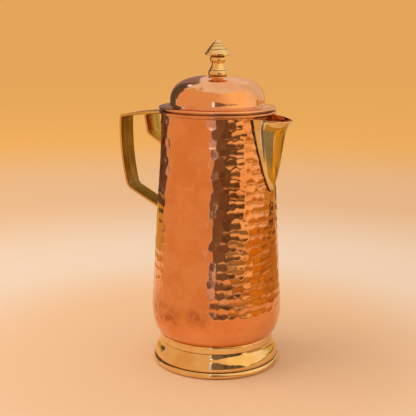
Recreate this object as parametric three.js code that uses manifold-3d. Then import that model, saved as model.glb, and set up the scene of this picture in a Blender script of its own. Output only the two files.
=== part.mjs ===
// Copper water jug: a hammered copper body on a brass foot, with a brass beak spout,
// a brass strap handle and a loose copper lid with a turned brass knob.
// Millimetres, +Z up, spout towards +X, handle towards -X.

import * as THREE from 'three';
import { mergeVertices } from 'three/addons/utils/BufferGeometryUtils.js';
import Module from 'manifold-3d';

const wasm = await Module();
wasm.setup();

// ---- Driving dimensions ----------------------------------------------------------------

const FACETS = 40;             // facets round every large turned piece
const SMALL_FACETS = 20;       // facets round the knob and its screw
const GAP = 0.3;               // solder or seat gap between pieces that touch

const FOOT = {
  base: 5.8,                   // height of the bottom flange
  waist: 20.7,                 // where the flared part meets the upper band
  top: 27.5,
  flange: 57.2,                // widest radius
  bead: 55.6,                  // radius of the flare just above the flange
  neck: 50.5,                  // narrowest radius, under the upper band
  seat: 49.7,                  // radius of the upper band where the body stands
  shelf: 43,                   // inner radius of the shelf under the body
  wall: 1.8,
  tread: 50.5,                 // inner radius of the flat ring that stands on the table
};

const BODY = {
  bottom: 27.8,                // underside of the turned-in lip
  bellyHeight: 53.7,           // height of the widest ring
  belly: 58,
  bottomRadius: 49.8,          // where the lower curve turns flat
  mouth: 49.2,                 // outer radius at the mouth
  top: 226.1,
  lip: 44,                     // inner radius of the turned-in lip
  wall: 1.2,
};

const BASE_DISC = { radius: 50, thickness: 1.2, dish: 1.6 };

const RIM = { low: 223.1, high: 226.3, radius: 50.75 };

const SPOUT = {
  low: 159.6,                  // lowest point of the V on the body
  lip: 222.3,                  // top of the V, where the lip meets the body
  dip: 2.3,                    // how far the lip falls from there to its tip
  halfWidth: 22.5,             // half the width of the V at the lip
  widening: 0.58,              // power by which the V opens upwards
  rise: 15.8,                  // how far the nose stands out at the lip, without the flare
  swelling: 0.55,              // power by which the nose swells upwards
  flare: 5.2,                  // extra reach of the turned-out lip
  flareHeight: 14,
  wall: 1.3,
  root: 7,                     // how far the blank runs inside the body before it is trimmed
  windowMargin: 4,             // metal left between the window and the V's edge
};

const HANDLE = {
  reach: 96.2,                 // outermost face of the grip from the jug's axis
  bow: 217,                    // radius of the grip's long outward bow
  bowHeight: 205,              // height where the grip stands upright
  thickness: 2.5,
  armOuter: 217.6,             // top face of the arm at the outer corner
  armInner: 223.2,             // top face of the arm at the body
  bend: 153,                   // height of the lower bend
  lowEnd: 135,                 // where the lower arm meets the body
  topWidth: 19.5,
  endWidth: 14,
};

const BRACKET = {
  top: [66.2, 218.4],          // distance from the axis and height under the arm
  knee: [63.4, 203.2],
  heel: 194.5,                 // where the bracket reaches the body
  toe: 185,                    // lower end of the pad
  thickness: 2.4,
  width: 19,
  padWidth: 24,
};

const LID = {
  lip: 226.7,                  // lower edge of the turned-down rim
  edge: 50.8,
  flangeTop: 229.3,
  domeRadius: 41.2,
  domeFoot: 231,
  top: 255.4,
  squareness: 2.75,            // exponent of the dome's superellipse
  wall: 1,
  hole: 2.4,
};

const COLLAR = { outer: 47.4, wall: 1, low: 213.5, high: 228 };

const KNOB = {
  base: 8.2,
  waist: 5.2,
  bulb: 6.8,
  brim: 11.1,
  tip: 2.4,
  top: 285,
  bore: 2.3,
  boreDepth: 9,
};

const SCREW = { shank: 2, head: 4.2, headHeight: 2, slotWidth: 1, slotDepth: 1, length: 10 };
const WASHER = { outer: 6, thickness: 0.8 };

// ---- Finishes --------------------------------------------------------------------------

const hammeredCopper = { color: 0xc9713d, roughness: 0.22, metalness: 1 };
const polishedCopper = { color: 0xd98a5b, roughness: 0.12, metalness: 1 };
const polishedBrass = { color: 0xcf9f4e, roughness: 0.15, metalness: 1 };

// ---- Helpers ---------------------------------------------------------------------------

const point = (r, z) => new THREE.Vector2(r, z);

/** Points along an elliptical arc, angles in degrees, both ends included. */
function arc(r, z, a, b, from, to, steps) {
  const curve = new THREE.EllipseCurve(
    r, z, a, b,
    THREE.MathUtils.degToRad(from), THREE.MathUtils.degToRad(to), to < from,
  );
  return curve.getPoints(steps);
}

/** Smooth points through a few given ones. */
function smooth(points, steps) {
  return new THREE.SplineCurve(points).getPoints(steps);
}

/** Turns a profile of (radius, height) points round the vertical axis. */
function turn(profile, facets = FACETS) {
  const geometry = new THREE.LatheGeometry(profile, facets);
  geometry.rotateX(Math.PI / 2);
  return geometry;
}

/** Closes a profile on itself and turns it. */
function turnRing(profile, facets = FACETS) {
  return turn([...profile, profile[0].clone()], facets);
}

/** A closed three.js geometry as a manifold solid. */
function solidOf(geometry) {
  const bare = geometry.clone();
  bare.deleteAttribute('normal');
  bare.deleteAttribute('uv');
  const merged = mergeVertices(bare, 1e-4);
  const corners = merged.index.array;
  const kept = [];
  for (let i = 0; i < corners.length; i += 3) {
    const [a, b, c] = corners.slice(i, i + 3);
    if (a !== b && b !== c && c !== a) kept.push(a, b, c);
  }
  const solid = new wasm.Manifold(new wasm.Mesh({
    numProp: 3,
    vertProperties: new Float32Array(merged.attributes.position.array),
    triVerts: new Uint32Array(kept),
  }));
  return solid;
}

/** A manifold solid as a three.js geometry. */
function geometryOf(solid) {
  const mesh = solid.getMesh();
  const geometry = new THREE.BufferGeometry();
  geometry.setAttribute('position', new THREE.BufferAttribute(mesh.vertProperties, 3));
  geometry.setIndex(new THREE.BufferAttribute(mesh.triVerts, 1));
  geometry.computeVertexNormals();
  return geometry;
}

/** Moves every vertex of a geometry by a function of its position. */
function warp(geometry, move) {
  const position = geometry.attributes.position;
  const vertex = new THREE.Vector3();
  for (let i = 0; i < position.count; i += 1) {
    vertex.fromBufferAttribute(position, i);
    move(vertex);
    position.setXYZ(i, vertex.x, vertex.y, vertex.z);
  }
  return geometry;
}

// ---- Body ------------------------------------------------------------------------------

/** Outside of the copper body, grown outwards by an offset, from the foot to the mouth. */
function bodyOutline(offset = 0) {
  const lower = arc(
    BODY.bottomRadius, BODY.bellyHeight,
    BODY.belly - BODY.bottomRadius + offset, BODY.bellyHeight - BODY.bottom + offset,
    -90, 0, 6,
  );
  const upper = smooth([
    point(BODY.belly, BODY.bellyHeight),
    point(BODY.belly - 2.1, 88),
    point(BODY.belly - 4.7, 136),
    point(BODY.mouth + 1.4, 175),
    point(BODY.mouth + 0.2, 200),
    point(BODY.mouth, BODY.top),
  ], 10);
  return [...lower, ...upper.slice(1).map((p) => point(p.x + offset, p.y))];
}

const WALL_LINE = bodyOutline();

/** Outer radius of the body at a height. */
function wallRadius(z) {
  const above = Math.max(1, WALL_LINE.findIndex((p) => p.y >= z));
  const a = WALL_LINE[above - 1];
  const b = WALL_LINE[above];
  return THREE.MathUtils.mapLinear(z, a.y, b.y, a.x, b.x);
}

/** The jug's outside as one solid, for trimming what is soldered to it. */
function bodyBlock(offset) {
  const outline = bodyOutline(offset);
  const top = BODY.top + 20;
  return solidOf(turn([
    point(0, outline[0].y), ...outline, point(BODY.mouth + offset, top), point(0, top),
  ]));
}

/** The V-shaped window through the wall behind the spout. */
function spoutWindow() {
  const low = SPOUT.low + 3 * SPOUT.windowMargin;
  const high = SPOUT.lip - SPOUT.dip;
  const sides = [];
  for (let step = 0; step <= 5; step += 1) {
    const z = THREE.MathUtils.lerp(low, high, step / 5);
    sides.push(point(spoutHalfWidth(z) - SPOUT.windowMargin, z));
  }
  const shape = new THREE.Shape([
    ...sides,
    ...sides.map((p) => point(-p.x, p.y)).reverse(),
  ]);
  const geometry = new THREE.ExtrudeGeometry(shape, { depth: BODY.belly, bevelEnabled: false });
  geometry.rotateX(Math.PI / 2);
  geometry.rotateZ(Math.PI / 2);
  return solidOf(geometry);
}

function bodyShell() {
  const outside = bodyOutline();
  const inside = bodyOutline(-BODY.wall).reverse();
  const shell = solidOf(turnRing([
    point(BODY.lip, BODY.bottom),
    ...outside,
    ...inside,
    point(BODY.lip, BODY.bottom + BODY.wall),
  ]));
  return geometryOf(shell.subtract(spoutWindow()));
}

/** Dished disc soldered on the turned-in lip to close the bottom. */
function bodyBase() {
  const low = BODY.bottom + BODY.wall + GAP;
  const high = low + BASE_DISC.thickness;
  const flat = BASE_DISC.radius - 8;
  return turn([
    point(0, low + BASE_DISC.dish),
    point(flat - 6, low + BASE_DISC.dish),
    point(flat, low),
    point(BASE_DISC.radius, low),
    point(BASE_DISC.radius, high),
    point(flat, high),
    point(flat - 6, high + BASE_DISC.dish),
    point(0, high + BASE_DISC.dish),
  ]);
}

/** Half-round bead soldered outside the mouth. */
function rimBead() {
  const inner = BODY.mouth + GAP;
  const middle = (RIM.low + RIM.high) / 2;
  return turnRing([
    point(inner, RIM.low),
    ...arc(inner + 0.3, middle, RIM.radius - inner - 0.3, middle - RIM.low, -90, 90, 6),
    point(inner, RIM.high),
  ]);
}

// ---- Foot ------------------------------------------------------------------------------

/** Spun brass foot: bottom flange, flared ogee and an upper band, hollow underneath. */
function footRing() {
  const ogee = smooth([
    point(FOOT.bead - 0.3, FOOT.base + 0.2),
    point(FOOT.bead, FOOT.base + 3),
    point(FOOT.bead - 1.4, FOOT.base + 7.5),
    point(FOOT.neck + 1, FOOT.waist - 3.4),
    point(FOOT.neck, FOOT.waist),
  ], 7);
  const flange = arc(
    FOOT.flange - 2, FOOT.base / 2, 2, FOOT.base / 2, -90, 80, 5,
  );
  const shelfUnder = FOOT.top - FOOT.wall;
  return turnRing([
    point(FOOT.tread, 0),
    ...flange,
    ...ogee,
    point(FOOT.neck + 0.7, FOOT.waist + 0.2),
    point(FOOT.neck + 0.7, FOOT.waist + 1.2),
    point(FOOT.seat, FOOT.top - 0.3),
    point(FOOT.seat - 0.4, FOOT.top),
    point(FOOT.shelf, FOOT.top),
    point(FOOT.shelf, shelfUnder),
    point(FOOT.seat - FOOT.wall, shelfUnder),
    point(FOOT.neck - FOOT.wall, FOOT.waist),
    point(FOOT.bead - 1.4 - FOOT.wall, FOOT.base + 7),
    point(FOOT.bead - FOOT.wall, FOOT.wall),
    point(FOOT.tread, FOOT.wall),
  ]);
}

// ---- Spout -----------------------------------------------------------------------------

/** Height up the V, 0 at its point and 1 at the lip. */
function spoutRise(z) {
  return Math.max(0, (z - SPOUT.low) / (SPOUT.lip - SPOUT.low));
}

function spoutHalfWidth(z) {
  return SPOUT.halfWidth * spoutRise(z) ** SPOUT.widening;
}

/** How far the nose stands out of the body wall at a height. */
function spoutReach(z) {
  const flare = Math.max(0, 1 - (SPOUT.lip - z) / SPOUT.flareHeight);
  return SPOUT.rise * spoutRise(z) ** SPOUT.swelling + SPOUT.flare * flare ** 2.5;
}

/**
 * A closed beak with a parabolic nose, thinned by an inset. Its back lies inside the body.
 * Its levels crowd together at the point of the V, where the curve is tightest.
 */
function beak(inset, top) {
  const geometry = new THREE.CylinderGeometry(1, 1, 1, 28, 12);
  geometry.rotateX(Math.PI / 2);
  const low = SPOUT.low + inset * 1.5;
  return solidOf(warp(geometry, (v) => {
    const level = (v.z + 0.5) ** 1.6;
    const z = THREE.MathUtils.lerp(low, top, level);
    const wall = wallRadius(z);
    const shrunk = Math.min(z - inset * 1.5 * (1 - level), top);
    const half = Math.max(0.4, spoutHalfWidth(shrunk) - inset);
    const chord = Math.sqrt(wall * wall - half * half);
    const nose = wall + Math.max(0.2, spoutReach(shrunk) - inset);
    const front = v.x > 0 ? (nose - chord) * v.x * v.x : SPOUT.root * v.x;
    const dip = SPOUT.dip * (1 - v.y ** 4) * level ** 6;
    v.set(chord + front, half * v.y, z - dip);
  }));
}

function spout() {
  const outside = beak(0, SPOUT.lip);
  const inside = beak(SPOUT.wall, SPOUT.lip + 1);
  return geometryOf(outside.subtract(inside).subtract(bodyBlock(GAP)));
}

// ---- Handle ----------------------------------------------------------------------------

/** Side view of a strap of even thickness along a centre line of (x, z) points. */
function strapOutline(line, thickness) {
  const left = [];
  const right = [];
  line.forEach((p, i) => {
    const before = line[Math.max(0, i - 1)];
    const after = line[Math.min(line.length - 1, i + 1)];
    const normal = after.clone().sub(before).normalize();
    const step = point(-normal.y, normal.x).multiplyScalar(thickness / 2);
    left.push(p.clone().add(step));
    right.push(p.clone().sub(step));
  });
  return new THREE.Shape([...left, ...right.reverse()]);
}

/** Extrudes a strap's side view across Y, with a width that depends on height. */
function strap(line, thickness, widthAt) {
  const shape = strapOutline(line, thickness);
  const geometry = new THREE.ExtrudeGeometry(shape, { depth: 1, bevelEnabled: false });
  geometry.translate(0, 0, -0.5);
  geometry.rotateX(Math.PI / 2);
  return warp(geometry, (v) => {
    v.y *= widthAt(v.z);
  });
}

/** Centre line of the handle, from the rim out, down the grip and back to the body. */
function handleLine() {
  const half = HANDLE.thickness / 2;
  const bowRadius = HANDLE.bow - half;
  const centre = HANDLE.bow - HANDLE.reach;
  const onBow = (z) => {
    const drop = z - HANDLE.bowHeight;
    return point(centre - Math.sqrt(bowRadius ** 2 - drop ** 2), z);
  };
  const corner = onBow(HANDLE.armOuter - half);
  const bend = onBow(HANDLE.bend);
  const wallTop = -(BODY.mouth - 2);
  const wallLow = -(wallRadius(HANDLE.lowEnd) - 2);
  const arm = new THREE.QuadraticBezierCurve(
    point(wallTop, HANDLE.armInner - half),
    point(-75, HANDLE.armInner - half - 1.5),
    point(corner.x + 2, corner.y + 0.3),
  ).getPoints(6);
  const topBend = new THREE.QuadraticBezierCurve(
    point(corner.x + 2, corner.y + 0.3),
    corner,
    onBow(corner.y - 2.4),
  ).getPoints(4);
  const grip = [];
  for (let step = 1; step <= 8; step += 1) {
    grip.push(onBow(THREE.MathUtils.lerp(corner.y - 2.4, HANDLE.bend + 3, step / 8)));
  }
  const lowArm = point(wallLow, HANDLE.lowEnd - 1);
  const downhill = lowArm.clone().sub(bend).normalize();
  const lowBend = new THREE.QuadraticBezierCurve(
    onBow(HANDLE.bend + 3),
    point(bend.x + 0.2, bend.y - 1.5),
    bend.clone().addScaledVector(downhill, 4).add(point(0.4, -1.2)),
  ).getPoints(5);
  return [...arm, ...topBend.slice(1), ...grip, ...lowBend.slice(1), lowArm];
}

function handleWidth(z) {
  const share = THREE.MathUtils.smoothstep(z, HANDLE.lowEnd, HANDLE.armOuter);
  return THREE.MathUtils.lerp(HANDLE.endWidth, HANDLE.topWidth, share);
}

/** Room kept for the rim bead where the handle's arm meets it. */
function rimRoom() {
  return solidOf(turn([
    point(0, RIM.low - GAP),
    point(RIM.radius + GAP, RIM.low - GAP),
    point(RIM.radius + GAP, RIM.high + GAP),
    point(0, RIM.high + GAP),
  ]));
}

function handleStrap() {
  const blank = solidOf(strap(handleLine(), HANDLE.thickness, handleWidth));
  return geometryOf(blank.subtract(bodyBlock(GAP)).subtract(rimRoom()));
}

/** Centre line of the inner bracket, from under the arm to the pad on the body. */
function bracketLine() {
  const half = BRACKET.thickness / 2;
  const heelWall = wallRadius(BRACKET.heel);
  const toeWall = wallRadius(BRACKET.toe);
  const top = point(-BRACKET.top[0], BRACKET.top[1]);
  const knee = point(-BRACKET.knee[0], BRACKET.knee[1]);
  const heel = point(-(heelWall + GAP + half), BRACKET.heel);
  const toe = point(-(toeWall + GAP + half), BRACKET.toe);
  const rounded = (from, at, to, size) => {
    const start = at.clone().addScaledVector(from.clone().sub(at).normalize(), size);
    const end = at.clone().addScaledVector(to.clone().sub(at).normalize(), size);
    return new THREE.QuadraticBezierCurve(start, at, end).getPoints(4);
  };
  return [top, ...rounded(top, knee, heel, 2.5), ...rounded(knee, heel, toe, 2), toe];
}

function bracketWidth(z) {
  const share = THREE.MathUtils.smoothstep(z, BRACKET.toe + 4, BRACKET.heel + 4);
  return THREE.MathUtils.lerp(BRACKET.padWidth, BRACKET.width, share);
}

function handleBracket() {
  const blank = solidOf(strap(bracketLine(), BRACKET.thickness, bracketWidth));
  const handleRoom = solidOf(strap(
    handleLine(), HANDLE.thickness + 2 * GAP, () => HANDLE.topWidth + 2,
  ));
  return geometryOf(blank.subtract(bodyBlock(GAP)).subtract(handleRoom));
}

// ---- Lid -------------------------------------------------------------------------------

/** Dome outline from the centre hole down to its foot, moved inwards by an inset. */
function domeOutline(inset) {
  const radius = LID.domeRadius - inset;
  const height = LID.top - LID.domeFoot - inset;
  const power = 2 / LID.squareness;
  const points = [];
  for (let step = 0; step <= 9; step += 1) {
    const angle = (Math.PI / 2) * (step / 9);
    const r = radius * Math.sin(angle) ** power;
    const z = LID.domeFoot + height * Math.cos(angle) ** power;
    if (r > LID.hole) points.push(point(r, z));
  }
  return [point(LID.hole, LID.domeFoot + height), ...points];
}

/** Pressed copper lid: dome, step, flange and turned-down rim in one sheet. */
function lidShell() {
  const outside = domeOutline(0).reverse();
  const inside = domeOutline(LID.wall);
  const inner = LID.edge - LID.wall;
  return turnRing([
    ...inside,
    point(LID.domeRadius, LID.flangeTop),
    point(inner, LID.flangeTop - LID.wall - 0.2),
    point(inner, LID.lip + 0.2),
    point(inner + 0.3, LID.lip),
    point(LID.edge - 0.3, LID.lip),
    point(LID.edge, LID.lip + 0.4),
    point(LID.edge, LID.flangeTop - 0.6),
    point(LID.edge - 0.6, LID.flangeTop),
    point(LID.domeRadius + 1.6, LID.domeFoot - 0.6),
    point(LID.domeRadius + 1.4, LID.domeFoot),
    ...outside,
  ]);
}

/** Sleeve under the flange that drops into the mouth and centres the lid. */
function lidCollar() {
  const inner = COLLAR.outer - COLLAR.wall;
  return turnRing([
    point(inner, COLLAR.low + 0.4),
    point(COLLAR.outer - 0.5, COLLAR.low),
    point(COLLAR.outer, COLLAR.low + 0.6),
    point(COLLAR.outer, COLLAR.high),
    point(inner, COLLAR.high),
  ]);
}

/** Turned finial: base drum, waist, bulb, and a stepped cone with a sharp brim. */
function lidKnob() {
  const base = LID.top + GAP;
  const brim = base + 17.1;
  const stem = smooth([
    point(KNOB.base, base + 3.8),
    point(KNOB.waist + 0.9, base + 6.6),
    point(KNOB.waist, base + 9.6),
    point(KNOB.waist + 0.5, base + 11.6),
    point(KNOB.bulb, base + 14.2),
    point(KNOB.bulb - 1, base + 16.6),
  ], 9);
  const cone = [];
  const steps = [[KNOB.brim, brim + 1.5], [7.5, brim + 5.6], [5.2, brim + 8], [3.7, brim + 10.2]];
  steps.forEach(([r, z], i) => {
    const next = steps[i + 1] ?? [KNOB.tip + 0.2, KNOB.top - 0.5];
    cone.push(point(r, z));
    cone.push(point((r + next[0]) / 2 - 0.15 * (r - next[0]), (z + next[1]) / 2));
    cone.push(point(next[0] + 0.5, next[1] - 0.15));
  });
  return turn([
    point(0, base + KNOB.boreDepth),
    point(KNOB.bore, base + KNOB.boreDepth - 1),
    point(KNOB.bore, base),
    point(KNOB.base, base),
    point(KNOB.base + 0.2, base + 0.6),
    point(KNOB.base, base + 1.2),
    ...stem,
    point(KNOB.brim - 0.6, brim),
    point(KNOB.brim, brim + 0.4),
    ...cone,
    point(KNOB.tip, KNOB.top - 0.3),
    point(KNOB.tip - 0.8, KNOB.top),
    point(0, KNOB.top),
  ], SMALL_FACETS);
}

/** Slotted screw through the lid from below, which holds the knob. */
function knobScrew() {
  const washerTop = LID.top - LID.wall - GAP;
  const seat = washerTop - WASHER.thickness - GAP;
  const bottom = seat - SCREW.headHeight;
  const blank = solidOf(turn([
    point(0, bottom),
    point(SCREW.head - 1, bottom),
    point(SCREW.head, bottom + 0.8),
    point(SCREW.head, seat),
    point(SCREW.shank, seat),
    point(SCREW.shank, seat + SCREW.length - 0.5),
    point(SCREW.shank - 0.5, seat + SCREW.length),
    point(0, seat + SCREW.length),
  ], SMALL_FACETS));
  const slot = new THREE.BoxGeometry(3 * SCREW.head, SCREW.slotWidth, 2 * SCREW.slotDepth);
  slot.translate(0, 0, bottom);
  return geometryOf(blank.subtract(solidOf(slot)));
}

/** Washer between the screw's head and the inside of the dome. */
function knobWasher() {
  const high = LID.top - LID.wall - GAP;
  return turnRing([
    point(LID.hole, high - WASHER.thickness),
    point(WASHER.outer, high - WASHER.thickness),
    point(WASHER.outer, high),
    point(LID.hole, high),
  ], SMALL_FACETS);
}

// ---- Assembly --------------------------------------------------------------------------

function piece(name, geometry, finish) {
  const mesh = new THREE.Mesh(geometry, new THREE.MeshStandardMaterial(finish));
  mesh.name = name;
  return mesh;
}

const vessel = new THREE.Group();
vessel.add(
  piece('body_shell', bodyShell(), hammeredCopper),
  piece('body_base', bodyBase(), hammeredCopper),
  piece('rim_bead', rimBead(), polishedCopper),
  piece('foot_ring', footRing(), polishedBrass),
  piece('spout', spout(), polishedBrass),
  piece('handle_strap', handleStrap(), polishedBrass),
  piece('handle_bracket', handleBracket(), polishedBrass),
);

const lid = new THREE.Group();
lid.add(
  piece('lid_shell', lidShell(), polishedCopper),
  piece('lid_collar', lidCollar(), polishedCopper),
  piece('lid_knob', lidKnob(), polishedBrass),
  piece('knob_screw', knobScrew(), polishedBrass),
  piece('knob_washer', knobWasher(), polishedBrass),
);

// The frame's origin is under the middle of the jug's overall length, on the table.
const spoutTip = wallRadius(SPOUT.lip) + spoutReach(SPOUT.lip);
const group = new THREE.Group();
group.add(vessel, lid);
group.position.x = (HANDLE.reach - spoutTip) / 2;

export default group;
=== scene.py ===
"""Copper water jug: hammered body, brass foot, spout, strap handle and a loose lid with a knob.

Shapes are worked out in millimetres from the jug's own axis, and put into the row frame in
metres when a mesh is made. Spout towards +X, handle towards -X, +Z up.
"""

import math

import bmesh
import bpy
import numpy as np
from mathutils import Matrix, Vector


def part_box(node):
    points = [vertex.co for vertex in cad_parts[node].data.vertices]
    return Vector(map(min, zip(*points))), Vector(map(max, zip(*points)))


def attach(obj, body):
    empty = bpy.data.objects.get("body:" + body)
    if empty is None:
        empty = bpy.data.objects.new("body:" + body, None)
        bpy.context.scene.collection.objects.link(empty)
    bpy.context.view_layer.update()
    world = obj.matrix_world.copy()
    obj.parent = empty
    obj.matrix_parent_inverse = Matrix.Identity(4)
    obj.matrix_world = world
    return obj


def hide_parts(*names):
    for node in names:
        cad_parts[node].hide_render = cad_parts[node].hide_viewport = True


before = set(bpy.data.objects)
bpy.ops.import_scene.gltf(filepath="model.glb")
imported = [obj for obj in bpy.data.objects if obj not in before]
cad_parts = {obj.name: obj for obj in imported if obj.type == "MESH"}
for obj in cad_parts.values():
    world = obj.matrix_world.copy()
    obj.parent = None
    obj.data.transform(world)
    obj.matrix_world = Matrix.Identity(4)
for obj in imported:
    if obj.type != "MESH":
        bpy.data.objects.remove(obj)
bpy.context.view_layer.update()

# ---- Sizes, in millimetres --------------------------------

MM = 0.001
RIM_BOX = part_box("rim_bead")
AXIS_X = (RIM_BOX[0][0] + RIM_BOX[1][0]) / 2


def extent(node, axis):
    """Lowest and highest coordinate of a CAD node from the jug's axis, in millimetres."""
    low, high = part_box(node)
    shift = AXIS_X if axis == 0 else 0
    return (low[axis] - shift) / MM, (high[axis] - shift) / MM


BODY_LOW, BODY_TOP = extent("body_shell", 2)
BELLY = extent("body_shell", 1)[1]
BELLY_HEIGHT = 53.7
BOTTOM_RADIUS = 49.8  # where the lower curve turns flat
MOUTH = 49.2
BODY_LIP = 44  # inner radius of the turned-in lip under the base disc
WALL = 1.2

RIM_LOW, RIM_HIGH = extent("rim_bead", 2)
RIM_RADIUS = extent("rim_bead", 1)[1]

FOOT_RADIUS = extent("foot_ring", 1)[1]
FOOT_TOP = extent("foot_ring", 2)[1]
FOOT_BASE = 5.6  # height of the rolled bottom flange
FOOT_WAIST = 20.7
FOOT_NECK = 50.5
FOOT_BEAD = 55.6
FOOT_TREAD = 50.5  # inner radius of the flat ring that stands on the table
FOOT_WALL = 1.8

SPOUT_LOW, SPOUT_TOP = extent("spout", 2)
SPOUT_HALF = extent("spout", 1)[1]
SPOUT_TIP = extent("spout", 0)[1]
SPOUT_DIP = 2.3  # fall of the lip from the wall to its tip
SPOUT_FLARE = 5.2
SPOUT_FLARE_HEIGHT = 14
SPOUT_WALL = 1.1
SPOUT_CROWN = 0.76  # fall of the beak's round front towards its sides
SPOUT_SIDE = 4.0  # steepness of its sides where they stand on the wall
WINDOW_MARGIN = 4  # wall left between the window's edge and the spout's
WINDOW_RISE = 12  # the window's point above the spout's
WINDOW_REACH = (30, 62)  # from inside the wall to outside it

GRIP_REACH = -extent("handle_strap", 0)[0]
GRIP_BOW = 217  # radius of the grip's long outward bow
GRIP_UPRIGHT = 205  # height where the grip stands upright
STRAP = 2.5
STRAP_EDGE = 0.55  # rounding of a strap's long edges
ARM_OUTER = 217.6  # top face of the arm at the outer corner
ARM_INNER = 223.2  # top face of the arm at the body
GRIP_BEND = 153
ARM_LOW_END = 135
GRIP_WIDE, GRIP_NARROW = 19.5, 18

BRACKET = 2.4
BRACKET_WIDE = 23
BRACKET_TOP = (-67.4, 218.8)  # x and height where it meets the arm
BRACKET_KNEE = (-64.6, 203.2)
PAD_WIDE = 24
PAD_TOP, PAD_LOW = 194.5, 185

LID_LOW, LID_TOP = extent("lid_shell", 2)
LID_RADIUS = extent("lid_shell", 1)[1]
LID_LIP = LID_LOW + 1  # lower edge of the turned-down rim
LID_FLANGE = 229.3
DOME_RADIUS = 41.2
DOME_FOOT = 231
DOME_SQUARENESS = 2.75
LID_WALL = 1
KNOB_HOLE = 2.4

KNOB_LOW, KNOB_TOP = extent("lid_knob", 2)
KNOB_BRIM = extent("lid_knob", 1)[1]
KNOB_SKIRT = KNOB_LOW + 17.1  # height of the brim's lower edge
KNOB_CREASES = (
    KNOB_LOW + 0.1, KNOB_LOW + 4.3,
    KNOB_SKIRT - 0.7, KNOB_SKIRT + 5, KNOB_SKIRT + 7.6, KNOB_SKIRT + 9.8,
)

# ---- Curves -----------------------------------------------


def smooth_curve(points, steps):
    """Catmull-Rom curve through points, with a number of steps in each span."""
    p = np.array(points, float)
    p = np.vstack([p[:1], p, p[-1:]])
    out = []
    for a, b, c, d in zip(p, p[1:], p[2:], p[3:]):
        for t in np.linspace(0, 1, steps, endpoint=False):
            out.append(0.5 * (2 * b + (c - a) * t + (2 * a - 5 * b + 4 * c - d) * t**2
                              + (3 * b - a - 3 * c + d) * t**3))
    out.append(p[-1])
    return np.array(out)


def arc(centre, radii, start, end, steps):
    """Points on an elliptical arc, angles in degrees, both ends included."""
    angle = np.radians(np.linspace(start, end, steps + 1))
    return np.column_stack([centre[0] + radii[0] * np.cos(angle), centre[1] + radii[1] * np.sin(angle)])


def bezier(a, b, c, steps):
    """Quadratic curve from a to c, pulled towards b."""
    t = np.linspace(0, 1, steps + 1)[:, None]
    a, b, c = (np.array(v, float) for v in (a, b, c))
    return (1 - t) ** 2 * a + 2 * t * (1 - t) * b + t**2 * c


def unit(vector):
    """The same direction with a length of 1."""
    return vector / np.linalg.norm(vector)


def direction(line, i):
    """Unit direction of a line of points at one of them."""
    return unit(line[min(i + 1, len(line) - 1)] - line[max(i - 1, 0)])


def fillet(before, at, after, size, steps=4):
    """Points round a corner, starting a size before it and ending a size after it."""
    before, at, after = (np.array(v, float) for v in (before, at, after))
    return bezier(at + unit(before - at) * size, at, at + unit(after - at) * size, steps)


def rounded(corners):
    """A closed outline from (radius, height, size) corners, each rounded by a fillet of its size."""
    out = []
    for i, (r, z, size) in enumerate(corners):
        if size:
            after = corners[(i + 1) % len(corners)]
            out.extend(fillet(corners[i - 1][:2], (r, z), after[:2], size))
        else:
            out.append((r, z))
    return np.array(out)


# ---- Meshes -----------------------------------------------


def to_row(points):
    """Millimetres from the jug's axis to metres in the row frame."""
    return np.asarray(points, float) * MM + np.array([AXIS_X, 0, 0])


def add_object(name, data):
    """Puts a mesh, a camera or a light into the scene."""
    obj = bpy.data.objects.new(name, data)
    bpy.context.scene.collection.objects.link(obj)
    return obj


def add_mesh(name, points, faces, sharp=32):
    """A closed, smooth-shaded mesh object whose edges above an angle stay crisp."""
    mesh = bpy.data.meshes.new(name)
    mesh.from_pydata(to_row(points).tolist(), [], [tuple(int(i) for i in f) for f in faces])
    mesh.validate()
    outward(mesh)
    mesh.shade_smooth()
    mesh.set_sharp_from_angle(angle=math.radians(sharp))
    return add_object(name, mesh)


def outward(mesh):
    """Turns every face of a closed mesh to point outwards."""
    shape = bmesh.new()
    shape.from_mesh(mesh)
    bmesh.ops.recalc_face_normals(shape, faces=shape.faces)
    shape.to_mesh(mesh)
    shape.free()


def turned_mesh(profile, segments):
    """Points and faces of a closed (radius, height) profile turned about the jug's axis."""
    angle = np.linspace(0, 2 * math.pi, segments, endpoint=False)
    points, rings = [], []
    for r, z in profile:
        if r < 1e-6:
            rings.append([len(points)] * segments)
            points.append((0, 0, z))
            continue
        rings.append(list(range(len(points), len(points) + segments)))
        points.extend(np.column_stack([r * np.cos(angle), r * np.sin(angle), np.full(segments, z)]))
    faces = []
    for low, high in zip(rings, rings[1:] + rings[:1]):
        for i in range(segments):
            j = (i + 1) % segments
            face = list(dict.fromkeys((low[i], low[j], high[j], high[i])))
            if len(face) > 2:
                faces.append(face)
    return points, faces


def turned(name, profile, segments=160, sharp=32):
    """A piece turned about the jug's axis. A profile may start and end on the axis."""
    return add_mesh(name, *turned_mesh(profile, segments), sharp)


def grid_faces(rows, columns, wrap=False):
    """Quads between neighbouring rows of points numbered row by row."""
    row, column = np.meshgrid(np.arange(rows - 1), np.arange(columns if wrap else columns - 1))
    row, column = row.ravel(), column.ravel()
    beside = (column + 1) % columns
    return np.column_stack([
        row * columns + column, row * columns + beside,
        (row + 1) * columns + beside, (row + 1) * columns + column,
    ])


def closing_faces(rows, columns, wrap=False):
    """Quads from the last row of points back to the first."""
    column = np.arange(columns if wrap else columns - 1)
    beside = (column + 1) % columns
    last = (rows - 1) * columns
    return np.column_stack([last + column, last + beside, beside, column])


def give_points(obj, name, values):
    """Stores a value at each point of a mesh, for its finish to read."""
    layer = obj.data.attributes.new(name, "FLOAT", "POINT")
    layer.data.foreach_set("value", np.asarray(values, np.float32))


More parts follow.
